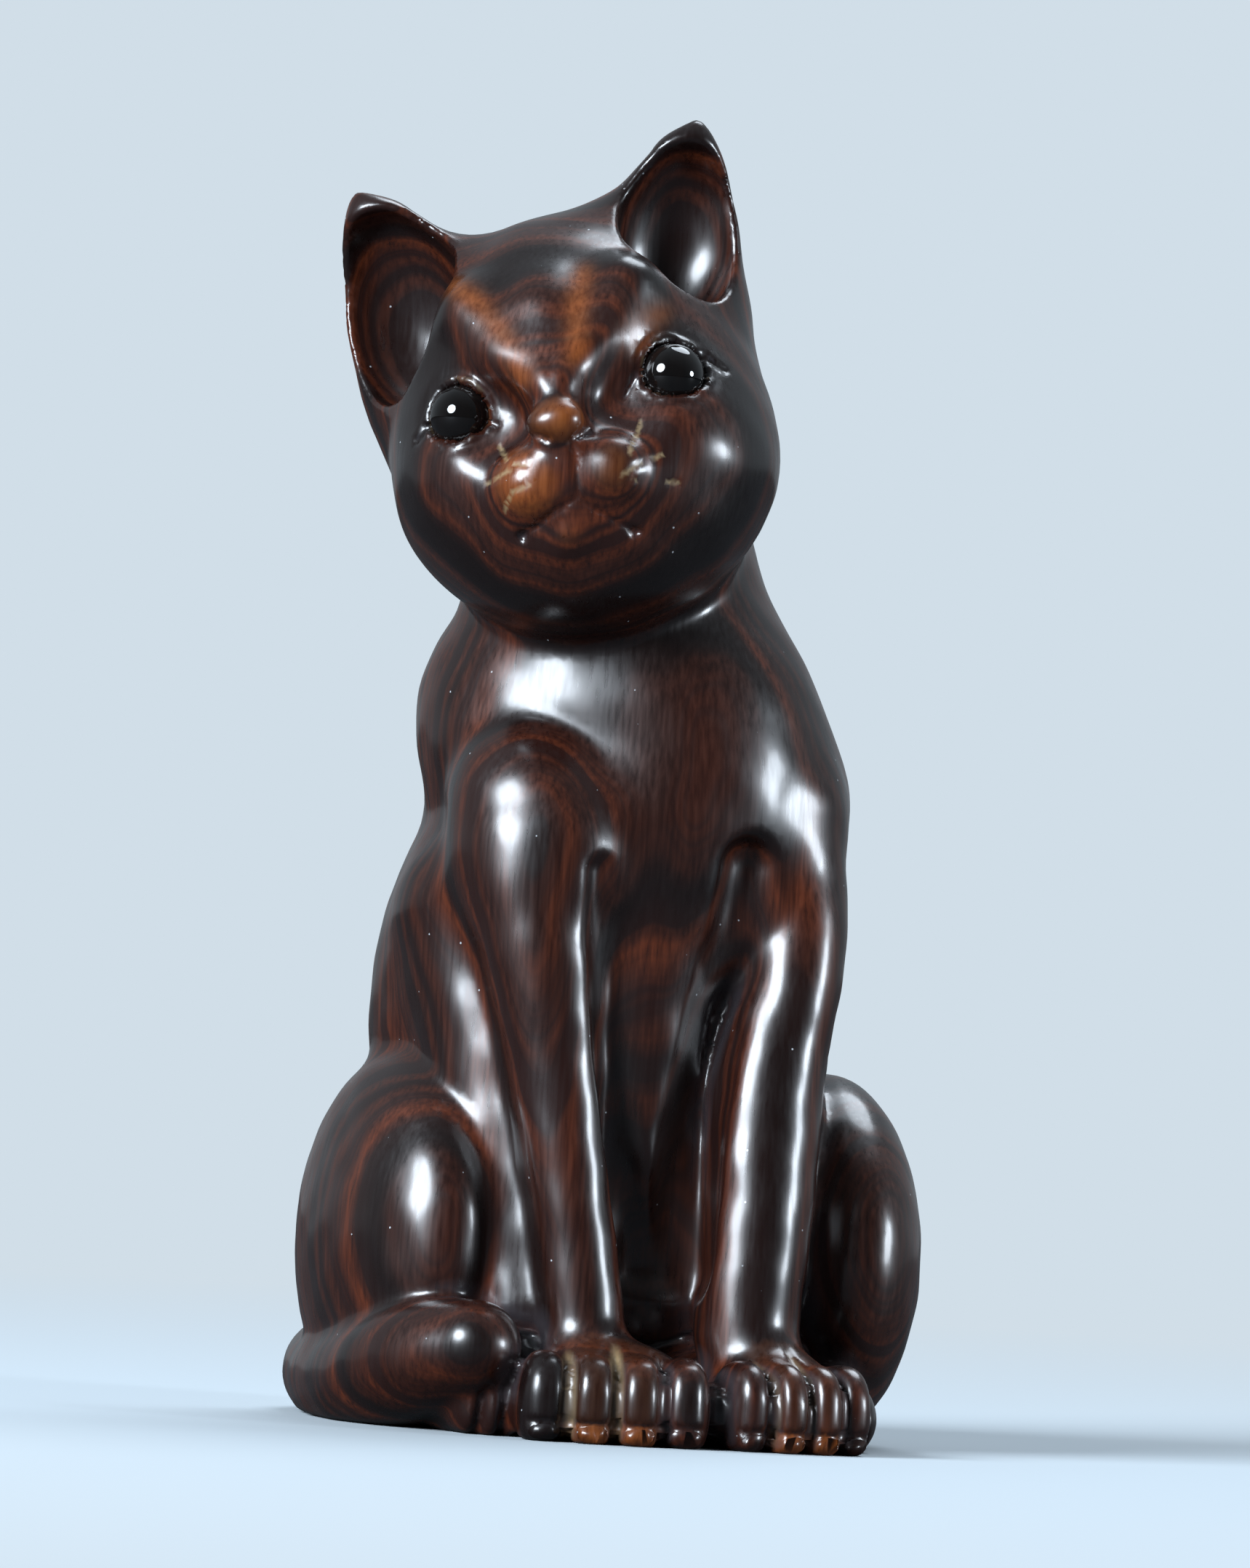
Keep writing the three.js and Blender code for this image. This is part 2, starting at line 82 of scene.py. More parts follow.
def trunk(p):
    d = egg(p, (0, 3.4, 7.5), (10, 10.3, 10.3))
    d = soft_join(d, egg(p, (-1.3, 2.0, 18), (9.5, 6.9, 13)), 3.0)
    d = soft_join(d, egg(p, (-1.3, -1.1, 28.6), (8.2, 5.7, 7.6)), 2.5)
    d = soft_join(d, rod(p, (-0.8, -0.7, 32), (-2.6, -0.4, 39), (6.7, 6.2)), 2.0)
    d = soft_join(d, rod(p, (-0.4, -0.2, 34.5), (4.1, -1.7, 27.4), (4.3, 4.7)), 2.0)
    d = soft_join(d, egg(p, (-5.0, 1.3, 30.9), (4.7, 4.8, 5.0)), 2.0)
    d = soft_join(d, egg(p, (1.0, -3.2, 27.2), (6.2, 5.7, 9.0)), 1.8)
    d = soft_join(d, egg(p, (-5.5, -4.7, 24.6), (4.2, 4.3, 4.8)), 1.5)
    d = soft_join(d, rod(p, (-1.2, -4.4, 26), (-0.9, -5.6, 8.5), (4.1, 1.7)), 1.5)
    for start, end in FLANKS:
        d = soft_join(d, rod(p, start, end, (3.9, 1.9)), 1.4)
    return d


# Forelegs: two straight legs left standing in front of the chest, with a gouged channel inside each one.
# Each is a round column through rows of [x, y, radius] at even heights, with a paw of four square toes.
# The toes are parted with a fine gouge and notched above each claw; the grooves show pale wax, painted paler
# on the lit side of the paws as a painted highlight.
LEGS = [
    {
        "low": 4.6,
        "high": 27,
        "rows": [
            [-3.9, -8.7, 1.75],
            [-4.6, -8.0, 1.8],
            [-5.4, -7.2, 2.1],
            [-6.2, -6.4, 2.7],
            [-6.4, -4.3, 3.3],
        ],
    },
    {
        "low": 4.8,
        "high": 27,
        "rows": [
            [3.4, -8.7, 2.25],
            [3.85, -8.1, 2.35],
            [4.25, -7.2, 2.4],
            [5.4, -6.6, 2.1],
            [5.0, -5.0, 2.6],
        ],
    },
]
LEG_CHANNELS = [
    {
        "low": 7.5,
        "high": 24.2,
        "rows": [[-1.0, -7.9, 1.6], [-2.6, -8.2, 1.0], [-3.6, -8.6, 0.75], [-4.4, -9.0, 0.5]],
    },
    {
        "low": 7.5,
        "high": 24.7,
        "rows": [[0.4, -7.9, 1.6], [0.7, -8.0, 1.3], [1.5, -8.3, 1.1], [2.4, -8.8, 1.3]],
    },
]
PAWS = [
    {"at": (-3.2, -10.8, 1.8), "heading": -12, "width": 1.05},
    {"at": (4.3, -10.8, 1.8), "heading": 10, "width": 0.86},
]
TOE_PLACES = (-1.5, -0.5, 0.5, 1.5)
TOE_PITCH = 1.9
TOE_REACH = -1.7
TOE_FAN = 0.25
NOTCH_HEIGHT = 0.85
GROOVE_PLACES = (-1.0, 0.0, 1.0)


def along_rows(rows, s):
    rows = np.array(rows, float)
    i = np.clip(s.astype(int), 0, len(rows) - 2)
    t = (s - i)[:, None]
    a, b, c, d = (rows[np.clip(i + n, 0, len(rows) - 1)] for n in (-1, 0, 1, 2))
    return b + 0.5 * t * (c - a + t * (2 * a - 5 * b + 4 * c - d + t * (3 * (b - c) + d - a)))


def column(p, low, high, rows):
    height = np.clip(p[:, 2], low, high)
    centre = along_rows(rows, (height - low) / (high - low) * (len(rows) - 1))
    gap = np.stack([p[:, 0] - centre[:, 0], p[:, 1] - centre[:, 1], p[:, 2] - height], 1)
    return np.linalg.norm(gap, axis=1) - centre[:, 2]


def in_paw(p, at, heading, width):
    turn = math.radians(heading)
    dx, dy = p[:, 0] - at[0], p[:, 1] - at[1]
    across = (dx * math.cos(turn) + dy * math.sin(turn)) / width
    return np.stack([across, dy * math.cos(turn) - dx * math.sin(turn), p[:, 2] - at[2]], 1)


def bell(distance, width):
    return np.exp(-((distance / width) ** 2))


def toe_gouge(q):
    nearest = np.min([np.abs(q[:, 0] - place * TOE_PITCH) for place in GROOVE_PLACES], 0)
    return bell(nearest, 0.2) * np.clip((-0.2 - q[:, 1]) / 1.2, 0, 1)


def paw(p, at, heading, width):
    q = in_paw(p, at, heading, width)
    d = egg(q, (0, 0.8, 0), (3.6, 3.6, 2.6))
    for place in TOE_PLACES:
        reach = TOE_REACH + TOE_FAN * place**2
        d = soft_join(d, egg(q, (place * TOE_PITCH, reach, -0.2), (1.06, 1.85, 2.2), 2.5), 0.3)
        d = soft_join(d, egg(q, (place * TOE_PITCH, reach - 1.55, 0.4 - at[2]), (0.68, 0.5, 0.4)), 0.12)
    notch = bell(p[:, 2] - NOTCH_HEIGHT, 0.13) * np.clip((-2.2 - q[:, 1]) / 0.6, 0, 1)
    return d + 0.3 * toe_gouge(q) + 0.16 * notch


def forelegs(p):
    d = np.full(len(p), FAR_OFF)
    for leg, foot in zip(LEGS, PAWS):
        shod = only_where(p[:, 2] < 6.5, p, lambda low: paw(low, **foot))
        d = np.minimum(d, soft_join(column(p, **leg), shod, 1.2))
    return d


# Haunches and tail: two rounded thighs with long hind feet, and a fat tail round the cat's right side.
# They stand clear of the flanks along crisp cut lines, and the tail's blunt tip lies on the foot.
# The tail is a string of tapered rods through rows of [x, y, z, radius].
TAIL_ROWS = [
    [3, 12.4, 2.2, 2.6],
    [-5, 12.4, 2.0, 2.5],
    [-9.0, 9.2, 1.9, 2.4],
    [-10.6, 4.0, 1.8, 2.4],
    [-10.9, -1.5, 2.0, 2.6],
    [-10.2, -6.0, 3.0, 2.6],
    [-8.8, -9.0, 3.7, 2.0],
]
TAIL_STEPS = 12
HIND_TOES = (-0.95, 0.0, 0.95)


def haunches(p):
    m = mirrored(p)
    d = egg(m, (9.4, 0.6, 7.9), (4.1, 8.2, 8.2))
    foot = rod(m, (8.6, -2.0, 1.5), (7.6, -8.2, 1.4), (2, 2))
    nearest = np.min([np.abs(m[:, 0] - 7.6 - place) for place in HIND_TOES], 0)
    foot += 0.35 * bell(nearest, 0.22) * np.clip((-8.0 - m[:, 1]) / 1.2, 0, 1)
    return soft_join(d, foot, 0.8)


def tail(p):
    steps = np.linspace(0, len(TAIL_ROWS) - 1, (len(TAIL_ROWS) - 1) * TAIL_STEPS + 1)
    rows = along_rows(TAIL_ROWS, steps)
    return np.min([rod(p, a[:3], b[:3], (a[3], b[3])) for a, b in zip(rows, rows[1:])], 0)


# Head: turned and tilted to the cat's right, with full cheeks, a short muzzle and two upright hollowed ears.
# It is worked in its own frame, with the face towards -Y, and meets the neck in a sharp cut below the jaw.
HEAD_AT = (-4.6, -3.4, 42.7)
HEAD_YAW, HEAD_LIFT, HEAD_TILT = -26, -3, -13.5
EARS = [
    {"root": (-5.6, 0.4, 5.0), "tip": (-7.85, -0.6, 12.3), "half": 4.2},
    {"root": (4.6, 0.4, 6.6), "tip": (7.1, -0.6, 12.7), "half": 3.5},
]
HEAD_TURN = np.array(
    Matrix.Rotation(math.radians(HEAD_YAW), 3, "Z")
    @ Matrix.Rotation(math.radians(HEAD_LIFT), 3, "X")
    @ Matrix.Rotation(math.radians(HEAD_TILT), 3, "Y")
)


def in_head(p):
    return (p - HEAD_AT) @ HEAD_TURN


def out_of_head(q):
    return q @ HEAD_TURN.T + HEAD_AT


def unit(v):
    return v / np.linalg.norm(v)


def ear_leaf_and_scoop(q, root, tip, half):
    tall = math.dist(root, tip)
    up = unit(np.subtract(tip, root))
    face = np.array([0.45 * np.sign(root[0]), -1, 0])
    face = unit(face - up * (face @ up))
    out = np.cross(up, face)
    out = out * np.sign(out[0] * root[0])
    e = (q - root) @ np.stack([out, face, up], 1)
    girth = np.hypot(e[:, 0] - 0.2, 1.4 * e[:, 1] + 0.3)
    leaf = egg(np.stack([girth, 0 * girth, e[:, 2] + 1.5], 1), (0, 0, 0), (half, half, tall + 1.5), 1.5)
    leaf = soft_join(leaf, rod(e, (-1.2, -1.0, 0), (-0.3, -0.4, tall - 2.0), (3.1, 0.9)), 1.0)
    scoop = egg(e, (0, 1.45, tall * 0.28), (half * 0.79, half * 0.76, tall * 0.63))
    return leaf, scoop


def bare_head(q):
    m = mirrored(q)
    d = egg(q, (-0.2, 1.0, 2.2), (7.9, 7.6, 7.7))
    d = soft_join(d, egg(m, (3.2, -0.8, -1.6), (5.1, 6.3, 5.2)), 2.0)
    d = soft_join(d, egg(q, (0, -1.6, -4.8), (5.3, 5.5, 4.1)), 2.4)
    d = soft_join(d, egg(q, (0.1, -5.2, -2.2), (3.7, 3.2, 2.9)), 1.6)
    d = soft_join(d, rod(q, (-0.1, -5.0, 4.6), (0, -7.7, 0.1), (1.6, 1.15)), 1.6)
    d = soft_join(d, rod(m, (3.4, -4.4, 5.6), (0.9, -7.2, 1.5), (1.2, 0.7)), 1.4)
    d = carve(d, egg(m, (2.8, -8.2, 0.7), (1.3, 1.6, 1.5)), 1.8)
    d = soft_join(d, egg(q, (-1.5, -7.2, -2.4), (1.7, 1.4, 1.6)), 0.5)
    d = soft_join(d, egg(q, (1.85, -7.1, -2.45), (1.45, 1.4, 1.5)), 0.5)
    d = soft_join(d, egg(q, (-0.1, -8.3, -0.1), (1.2, 0.9, 0.85)), 0.4)
    d = soft_join(d, egg(q, (-0.35, -6.2, -4.7), (1.2, 1.5, 1.2)), 0.6)
    for ear in EARS:
        leaf, scoop = ear_leaf_and_scoop(q, **ear)
        d = carve(soft_join(d, leaf, 2.0), scoop, 0.4)
    return d


# Face: the last cuts on the head, made with a fine graver and seen only from close by.
# Round lids stand up around the eyes, whisker strokes show paler wood, and two drilled pits end the mouth.
EYE_PLACES = {"right_eye": (-4.35, 1.2), "left_eye": (4.75, 1.35)}
EYE_RADIUS = 1.4
EYE_PROUD = 0.7
WHISKERS = [
    [(-2.85, -0.48), (-2.41, -1.48), (-1.51, -1.77)],
    [(-3.56, -2.07), (-2.34, -1.81)],
    [(-2.97, -3.38), (-2.43, -2.77), (-1.61, -2.60)],
    [(3.30, -0.58), (2.77, -1.98)],
    [(4.13, -2.13), (3.04, -2.49), (2.34, -2.87)],
    [(4.46, -3.40), (2.73, -3.14)],
]
LIP_LINES = [
    [(0.40, -1.10), (0.55, -1.70), (0.29, -3.45)],
    [(0.29, -3.45), (-0.73, -3.75), (-1.59, -4.25), (-2.45, -4.42)],
    [(0.29, -3.45), (0.81, -4.02), (1.64, -4.62), (2.30, -5.10)],
]
MOUTH_PITS = [(-2.42, -4.50), (2.33, -5.20)]
NOSTRILS = [[(-0.95, -0.55), (-0.45, -0.85)], [(1.15, -0.75), (0.70, -0.95)]]
EYE_CORNERS = [
    [(-5.72, 1.37), (-6.52, 0.55)],
    [(6.10, 2.05), (6.91, 1.29)],
    [(3.80, 2.10), (2.71, 0.67)],
    [(-3.40, 1.10), (-2.85, 0.45)],
]


def eye_centre(across, up):
    depth = np.linspace(-12, 0, 1201)
    ray = np.stack([np.full_like(depth, across), depth, np.full_like(depth, up)], 1)
    return ray[np.argmax(bare_head(ray) < EYE_PROUD - EYE_RADIUS)]


def slope_of(shape, p, step=0.01):
    middle = shape(p)
    ahead = [shape(p + step * axis) - middle for axis in np.eye(3)]
    return middle, np.stack(ahead, 1) / step


EYES = {}
for name, place in EYE_PLACES.items():
    centre = eye_centre(*place)
    _, outward = slope_of(bare_head, centre[None])
    outward = unit(outward[0])
    level = unit(np.cross([0, 0, 1], outward))
    EYES[name] = {"centre": centre, "outward": outward, "level": level, "upright": np.cross(outward, level)}


def stroke(q, points, width):
    flat = q[:, [0, 2]]
    d = np.full(len(q), FAR_OFF)
    for a, b in zip(points, points[1:]):
        run = np.subtract(b, a)
        share = np.clip(((flat - a) @ run) / (run @ run), 0, 1)
        d = np.minimum(d, np.linalg.norm(flat - a - share[:, None] * run, axis=1))
    return bell(d, width)


def strokes(q, lines, width):
    return np.max([stroke(q, line, width) for line in lines], 0)


def lid_ring(q, eye, radius, width):
    from_eye = q - eye["centre"]
    across = np.hypot(from_eye @ eye["level"], from_eye @ eye["upright"])
    return bell(across - radius, width) * bell(np.linalg.norm(from_eye, axis=1), 2.6)


def head(p):
    q = in_head(p)
    d = bare_head(q)
    front = np.clip((-3.0 - q[:, 1]) / 1.0, 0, 1)
    cuts = 0.05 * strokes(q, WHISKERS, 0.1) + 0.11 * strokes(q, LIP_LINES, 0.11)
    cuts += 0.2 * strokes(q, NOSTRILS, 0.15) + 0.16 * strokes(q, EYE_CORNERS, 0.13)
    cuts += 0.3 * np.max([stroke(q, [pit, (pit[0] + 0.01, pit[1])], 0.2) for pit in MOUTH_PITS], 0)
    d = d + front * cuts
    for eye in EYES.values():
        d = d - 0.18 * lid_ring(q, eye, 1.36, 0.18) + 0.1 * lid_ring(q, eye, 1.8, 0.25)
        d = carve(d, np.linalg.norm(q - eye["centre"], axis=1) - EYE_RADIUS + 0.05, 0.08)
    return d


# The finished block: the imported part's solid is the rough-out, evened to small facets like a sanded blank.
# Its skin is drawn onto the carved form, cut finer wherever the carving turns sharply, and drawn on again.
# Faint waves in the surface are what is left of the knife.
KNIFE_WAVE = 0.02
FOOT_EASING = 0.3
SKIN_FACET = 0.42
SHORTEST_EDGE = 0.13
SHARP_TURN = math.cos(math.radians(11))


def hand_worked(p):
    x, y, z = p.T
    long_wave = np.sin(1.3 * x + 0.7 * z) * np.sin(1.1 * y - 0.6 * z + 1.0)
    short_wave = np.sin(2.3 * z + 0.9 * x) * np.sin(1.9 * y + 0.5)
    return KNIFE_WAVE * (long_wave + short_wave)


def cat(p):
    height = p[:, 2]
    d = soft_join(trunk(p), forelegs(p), 1.1)
    for channel in LEG_CHANNELS:
        d = carve(d, column(p, **channel), 0.6)
    d = soft_join(d, only_where(height < 18, p, haunches), 0.7)
    d = soft_join(d, only_where(height > 30, p, head), 0.8)
    d = soft_join(d, only_where(height < 7.5, p, tail), 0.5)
    return -soft_join(-(d + hand_worked(p)), height, FOOT_EASING)


def places(bm):
    return np.array([v.co for v in bm.verts])


def settle(bm, steps, stride):
    p = places(bm)
    for _ in range(steps):
        d, slope = slope_of(cat, p)
        steep = np.maximum((slope**2).sum(1), 0.2)
        p -= (np.clip(d, -stride, stride) / steep)[:, None] * slope
    for v, co in zip(bm.verts, p):
        v.co = co


def relax(bm, factor):
    axes = {"use_axis_x": True, "use_axis_y": True, "use_axis_z": True}
    bmesh.ops.smooth_vert(bm, verts=bm.verts, factor=factor, **axes)


def even_skin(bm, facet):
    mesh = bpy.data.meshes.new("rough_block")
    bm.to_mesh(mesh)
    block = bpy.data.objects.new("rough_block", mesh)
    bpy.context.scene.collection.objects.link(block)
    remesh = block.modifiers.new("even_skin", "REMESH")
    remesh.mode = "VOXEL"
    remesh.voxel_size = facet
    evaluated = block.evaluated_get(bpy.context.evaluated_depsgraph_get())
    evened = bmesh.new()
    evened.from_mesh(evaluated.to_mesh())
    bpy.data.objects.remove(block)
    bpy.data.meshes.remove(mesh)
    return evened


def cut_finer(bm):
    bm.verts.index_update()
    _, slope = slope_of(cat, places(bm))
    slope /= np.linalg.norm(slope, axis=1, keepdims=True)
    ends = np.array([[v.index for v in e.verts] for e in bm.edges])
    turn = (slope[ends[:, 0]] * slope[ends[:, 1]]).sum(1)
    length = np.array([e.calc_length() for e in bm.edges])
    chosen = (turn < SHARP_TURN) & (length > 2 * SHORTEST_EDGE)
    sharp = [edge for edge, is_chosen in zip(bm.edges, chosen) if is_chosen]
    bmesh.ops.subdivide_edges(bm, edges=sharp, cuts=1, use_grid_fill=True)
    bmesh.ops.triangulate(bm, faces=[f for f in bm.faces if len(f.verts) > 3])


rough = bmesh.new()
rough.from_mesh(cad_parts["cat_body"].data)
bmesh.ops.remove_doubles(rough, verts=rough.verts, dist=0.00001)
bmesh.ops.scale(rough, vec=(1 / MM,) * 3, verts=rough.verts)
block = even_skin(rough, SKIN_FACET)
for _ in range(5):
    settle(block, 2, 0.5)
    relax(block, 0.5)
settle(block, 3, 0.3)
block = even_skin(block, SKIN_FACET)
settle(block, 3, 0.3)
relax(block, 0.4)
settle(block, 3, 0.3)
for _ in range(2):
    cut_finer(block)
    settle(block, 2, 0.1)
    relax(block, 0.25)
    settle(block, 3, 0.1)

carved = places(block)
bmesh.ops.scale(block, vec=(MM,) * 3, verts=block.verts)
bmesh.ops.recalc_face_normals(block, faces=block.faces)
for face in block.faces:
    face.smooth = True
cat_mesh = bpy.data.meshes.new("carved_cat")
block.to_mesh(cat_mesh)
carved_cat = bpy.data.objects.new("carved_cat", cat_mesh)
bpy.context.scene.collection.objects.link(carved_cat)

# Oiled rosewood: near-black heartwood with red-brown growth layers, rubbed to a satin polish by handling.
# Worn high places show orange wood, graver cuts and wax in the grooves are pale, and corners hold grey dust
# mixed with a painted grey sheen.
# Three values on the skin say how worn, how pale with wax or painted highlight, and how deep in a crevice
# each place is; the crevice depth sets the grey dust and painted sheen.
GROWTH_LAYER = 2.6
GROWTH_LINE = 0.55
PORE = (0.2, 0.2, 5.0)
TRUNK_WAVER = (9, 9, 45)
DUST_SPACING = 0.9
CREVICE_REACH = 1.2
WORN_PADS = [
    ((0.1, -8.4, -0.1), (1.15, 0.85, 0.8), 0.6),
    ((-1.5, -7.2, -2.4), (1.55, 1.4, 1.45), 0.95),
    ((1.85, -7.1, -2.45), (1.1, 1.4, 1.2), 0.4),
    ((-0.35, -6.2, -4.7), (0.8, 1.5, 0.8), 0.25),
]
WORN_STRIPES = [
    [(-4.1, 7.2), (-3.1, 6.1), (-1.9, 4.1), (-1.1, 2.1)],
    [(1.7, 6.3), (1.4, 4.5), (1.2, 2.6)],
    [(4.6, 4.2), (3.4, 3.0)],
]
q = in_head(carved)
worn = np.zeros(len(carved))
for at, size, strength in WORN_PADS:
    worn = np.maximum(worn, strength * np.clip(0.6 - 2.2 * egg(q, at, size), 0, 1))
on_face = np.clip((-3.0 - q[:, 1]) / 1.0, 0, 1) * (carved[:, 2] > 33)
worn = np.maximum(worn, 0.4 * on_face * strokes(q, WORN_STRIPES, 0.5))
wax_and_highlight = 0.8 * on_face * strokes(q, WHISKERS, 0.09)
for eye in EYES.values():
    wax_and_highlight = np.maximum(wax_and_highlight, 0.45 * lid_ring(q, eye, 1.42, 0.12))
# pale in the toe grooves, only on the lit side of each paw and stronger on the better-lit paw: wax and a
# painted highlight
for foot, share in zip(PAWS, (1.0, 0.6)):
    in_foot = in_paw(carved, **foot)
    across, along = in_foot[:, 0], in_foot[:, 1]
    near = (carved[:, 2] < 4.6) & (np.abs(across) < 4) & (along < 0) & (along > -5)
    wax_and_highlight = np.maximum(wax_and_highlight, share * near * toe_gouge(in_foot) * (across < 1))
    claw = carved[:, 2] < NOTCH_HEIGHT
    worn = np.maximum(worn, near * (0.06 + 0.35 * claw) * (np.abs(across) < 2))
# crevice depth, which mixes grey dust and a painted grey sheen into the corners
_, lean = slope_of(cat, carved)
lean /= np.linalg.norm(lean, axis=1, keepdims=True)
dust_and_sheen = np.clip(1 - cat(carved + CREVICE_REACH * lean) / CREVICE_REACH, 0, 1)
for name, values in (("worn", worn), ("wax_and_highlight", wax_and_highlight), ("dust_and_sheen", dust_and_sheen)):
    layer = cat_mesh.attributes.new(name, "FLOAT", "POINT")
    layer.data.foreach_set("value", values.astype(np.float32))


def linear(hex_colour):
    channels = [int(hex_colour[i : i + 2], 16) / 255 for i in (1, 3, 5)]
    return (*[c / 12.92 if c <= 0.04045 else ((c + 0.055) / 1.055) ** 2.4 for c in channels], 1)


def add_node(tree, kind, inputs=(), **settings):
    node = tree.nodes.new(kind)
    for key, value in settings.items():
        setattr(node, key, value)
    for key, value in dict(inputs).items():
        if isinstance(value, bpy.types.NodeSocket):
            tree.links.new(value, node.inputs[key])
        else:
            node.inputs[key].default_value = value
    return node.outputs


def per_metre(*millimetres):
    return tuple(1 / (size * MM) for size in millimetres)


def oiled_rosewood():
    wood = bpy.data.materials.new("oiled_rosewood")
    wood.use_nodes = True
    tree = wood.node_tree
    shader = tree.nodes["Principled BSDF"]
    place = add_node(tree, "ShaderNodeTexCoord")["Object"]

    # growth layers about a heart that lies behind the cat, wavering along the trunk
    heart = {"Location": (-6, -15, 0), "Rotation": (0.12, 0, 0), "Scale": per_metre(1, 1, 1)}
    from_heart = add_node(tree, "ShaderNodeMapping", {"Vector": place, **heart})["Vector"]
    level = {0: from_heart, 1: (1, 1, 0)}
    level = add_node(tree, "ShaderNodeVectorMath", level, operation="MULTIPLY")["Vector"]
    radius = add_node(tree, "ShaderNodeVectorMath", {0: level}, operation="LENGTH")["Value"]
    wide = {"Vector": place, "Scale": per_metre(*TRUNK_WAVER)}
    wide = add_node(tree, "ShaderNodeMapping", wide)["Vector"]
    waver = add_node(tree, "ShaderNodeTexNoise", {"Vector": wide, "Scale": 1.0, "Detail": 2.0})["Fac"]
    ring = add_node(tree, "ShaderNodeMath", {0: waver, 1: 4.0, 2: radius}, operation="MULTIPLY_ADD")[0]
    layers = {"W": ring, "Scale": 1 / GROWTH_LAYER, "Detail": 1.0}
    layers = add_node(tree, "ShaderNodeTexNoise", layers, noise_dimensions="1D")["Fac"]
    lines = {"W": ring, "Scale": 1 / GROWTH_LINE, "Detail": 3.0}
    lines = add_node(tree, "ShaderNodeTexNoise", lines, noise_dimensions="1D")["Fac"]
    drawn_out = {"Vector": place, "Scale": per_metre(*PORE)}
    drawn_out = add_node(tree, "ShaderNodeMapping", drawn_out)["Vector"]
    pores = {"Vector": drawn_out, "Scale": 1.0, "Detail": 2.0}
    pores = add_node(tree, "ShaderNodeTexNoise", pores)["Fac"]

    banded = {"Value": layers, "From Min": 0.36, "From Max": 0.62}
    banded = add_node(tree, "ShaderNodeMapRange", banded)[0]
    lined = {"Value": lines, "From Min": 0.42, "From Max": 0.72}
    lined = add_node(tree, "ShaderNodeMapRange", lined)[0]
    fleck = {"Value": pores, "From Min": 0.2, "From Max": 0.7}
    fleck = add_node(tree, "ShaderNodeMapRange", fleck)[0]
    red = add_node(tree, "ShaderNodeMath", {0: banded, 1: lined}, operation="MULTIPLY")[0]
    red = add_node(tree, "ShaderNodeMath", {0: red, 1: fleck}, operation="MULTIPLY")[0]
    red = add_node(tree, "ShaderNodeMath", {0: red, 1: 1.7}, operation="MULTIPLY", use_clamp=True)[0]
    heartwood = {0: banded, 6: linear("#100706"), 7: linear("#220e0a")}
    colour = add_node(tree, "ShaderNodeMix", heartwood, data_type="RGBA")[2]
    streaked = {0: red, 6: colour, 7: linear("#4e2210")}
    colour = add_node(tree, "ShaderNodeMix", streaked, data_type="RGBA")[2]

    # bare orange wood where handling has worn the stain
    bare = {0: fleck, 6: linear("#753a17"), 7: linear("#a05824")}
    bare = add_node(tree, "ShaderNodeMix", bare, data_type="RGBA")[2]
    worn = add_node(tree, "ShaderNodeAttribute", attribute_name="worn")["Fac"]
    colour = add_node(tree, "ShaderNodeMix", {0: worn, 6: colour, 7: bare}, data_type="RGBA")[2]

    # grey dust and a painted grey sheen in the corners, pale wax in the cuts, a painted highlight in the toe
    # grooves on the lit side, and a few white specks
    dust_and_sheen = add_node(tree, "ShaderNodeAttribute", attribute_name="dust_and_sheen")["Fac"]
    dust_and_sheen_share = {"Value": dust_and_sheen, "From Min": 0.4, "From Max": 0.95, "To Max": 0.32}
    dust_and_sheen_share = add_node(tree, "ShaderNodeMapRange", dust_and_sheen_share)[0]
    with_dust_and_sheen = {0: dust_and_sheen_share, 6: colour, 7: linear("#46454a")}
    colour = add_node(tree, "ShaderNodeMix", with_dust_and_sheen, data_type="RGBA")[2]
    wax_and_highlight = add_node(tree, "ShaderNodeAttribute", attribute_name="wax_and_highlight")["Fac"]
    wax_and_highlight_share = {"Value": wax_and_highlight, "From Min": 0.1, "From Max": 0.9, "To Max": 0.85}
    wax_and_highlight_share = add_node(tree, "ShaderNodeMapRange", wax_and_highlight_share)[0]
    with_wax_and_highlight = {0: wax_and_highlight_share, 6: colour, 7: linear("#8d7856")}
    colour = add_node(tree, "ShaderNodeMix", with_wax_and_highlight, data_type="RGBA")[2]
    cells = {"Vector": place, "Scale": 1 / (DUST_SPACING * MM)}
    cells = add_node(tree, "ShaderNodeTexVoronoi", cells)
    dot = {"Value": cells["Distance"], "From Min": 0.03, "From Max": 0.06, "To Min": 1.0, "To Max": 0.0}
    dot = add_node(tree, "ShaderNodeMapRange", dot)[0]
    lot = add_node(tree, "ShaderNodeSeparateColor", {0: cells["Color"]})[0]
    kept = add_node(tree, "ShaderNodeMath", {0: lot, 1: 0.6}, operation="GREATER_THAN")[0]
    speck = add_node(tree, "ShaderNodeMath", {0: dot, 1: kept}, operation="MULTIPLY")[0]
    with_specks = {0: speck, 6: colour, 7: linear("#a9adb2")}
    colour = add_node(tree, "ShaderNodeMix", with_specks, data_type="RGBA")[2]
    tree.links.new(colour, shader.inputs["Base Color"])

    satin = {"Value": pores, "From Min": 0.3, "From Max": 0.7, "To Min": 0.26, "To Max": 0.36}
    satin = add_node(tree, "ShaderNodeMapRange", satin)[0]
    matt = add_node(tree, "ShaderNodeMath", {0: wax_and_highlight_share, 1: 0.3, 2: satin}, operation="MULTIPLY_ADD")[0]
    tree.links.new(matt, shader.inputs["Roughness"])
    shader.inputs["IOR"].default_value = 1.5
    shader.inputs["Coat Weight"].default_value = 0.3
    shader.inputs["Coat Roughness"].default_value = 0.16
    relief = {"Height": pores, "Strength": 0.1, "Distance": 0.02 * MM}
    tree.links.new(add_node(tree, "ShaderNodeBump", relief)["Normal"], shader.inputs["Normal"])
    return wood


cat_mesh.materials.append(oiled_rosewood())
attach(carved_cat, "root")
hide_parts("cat_body")

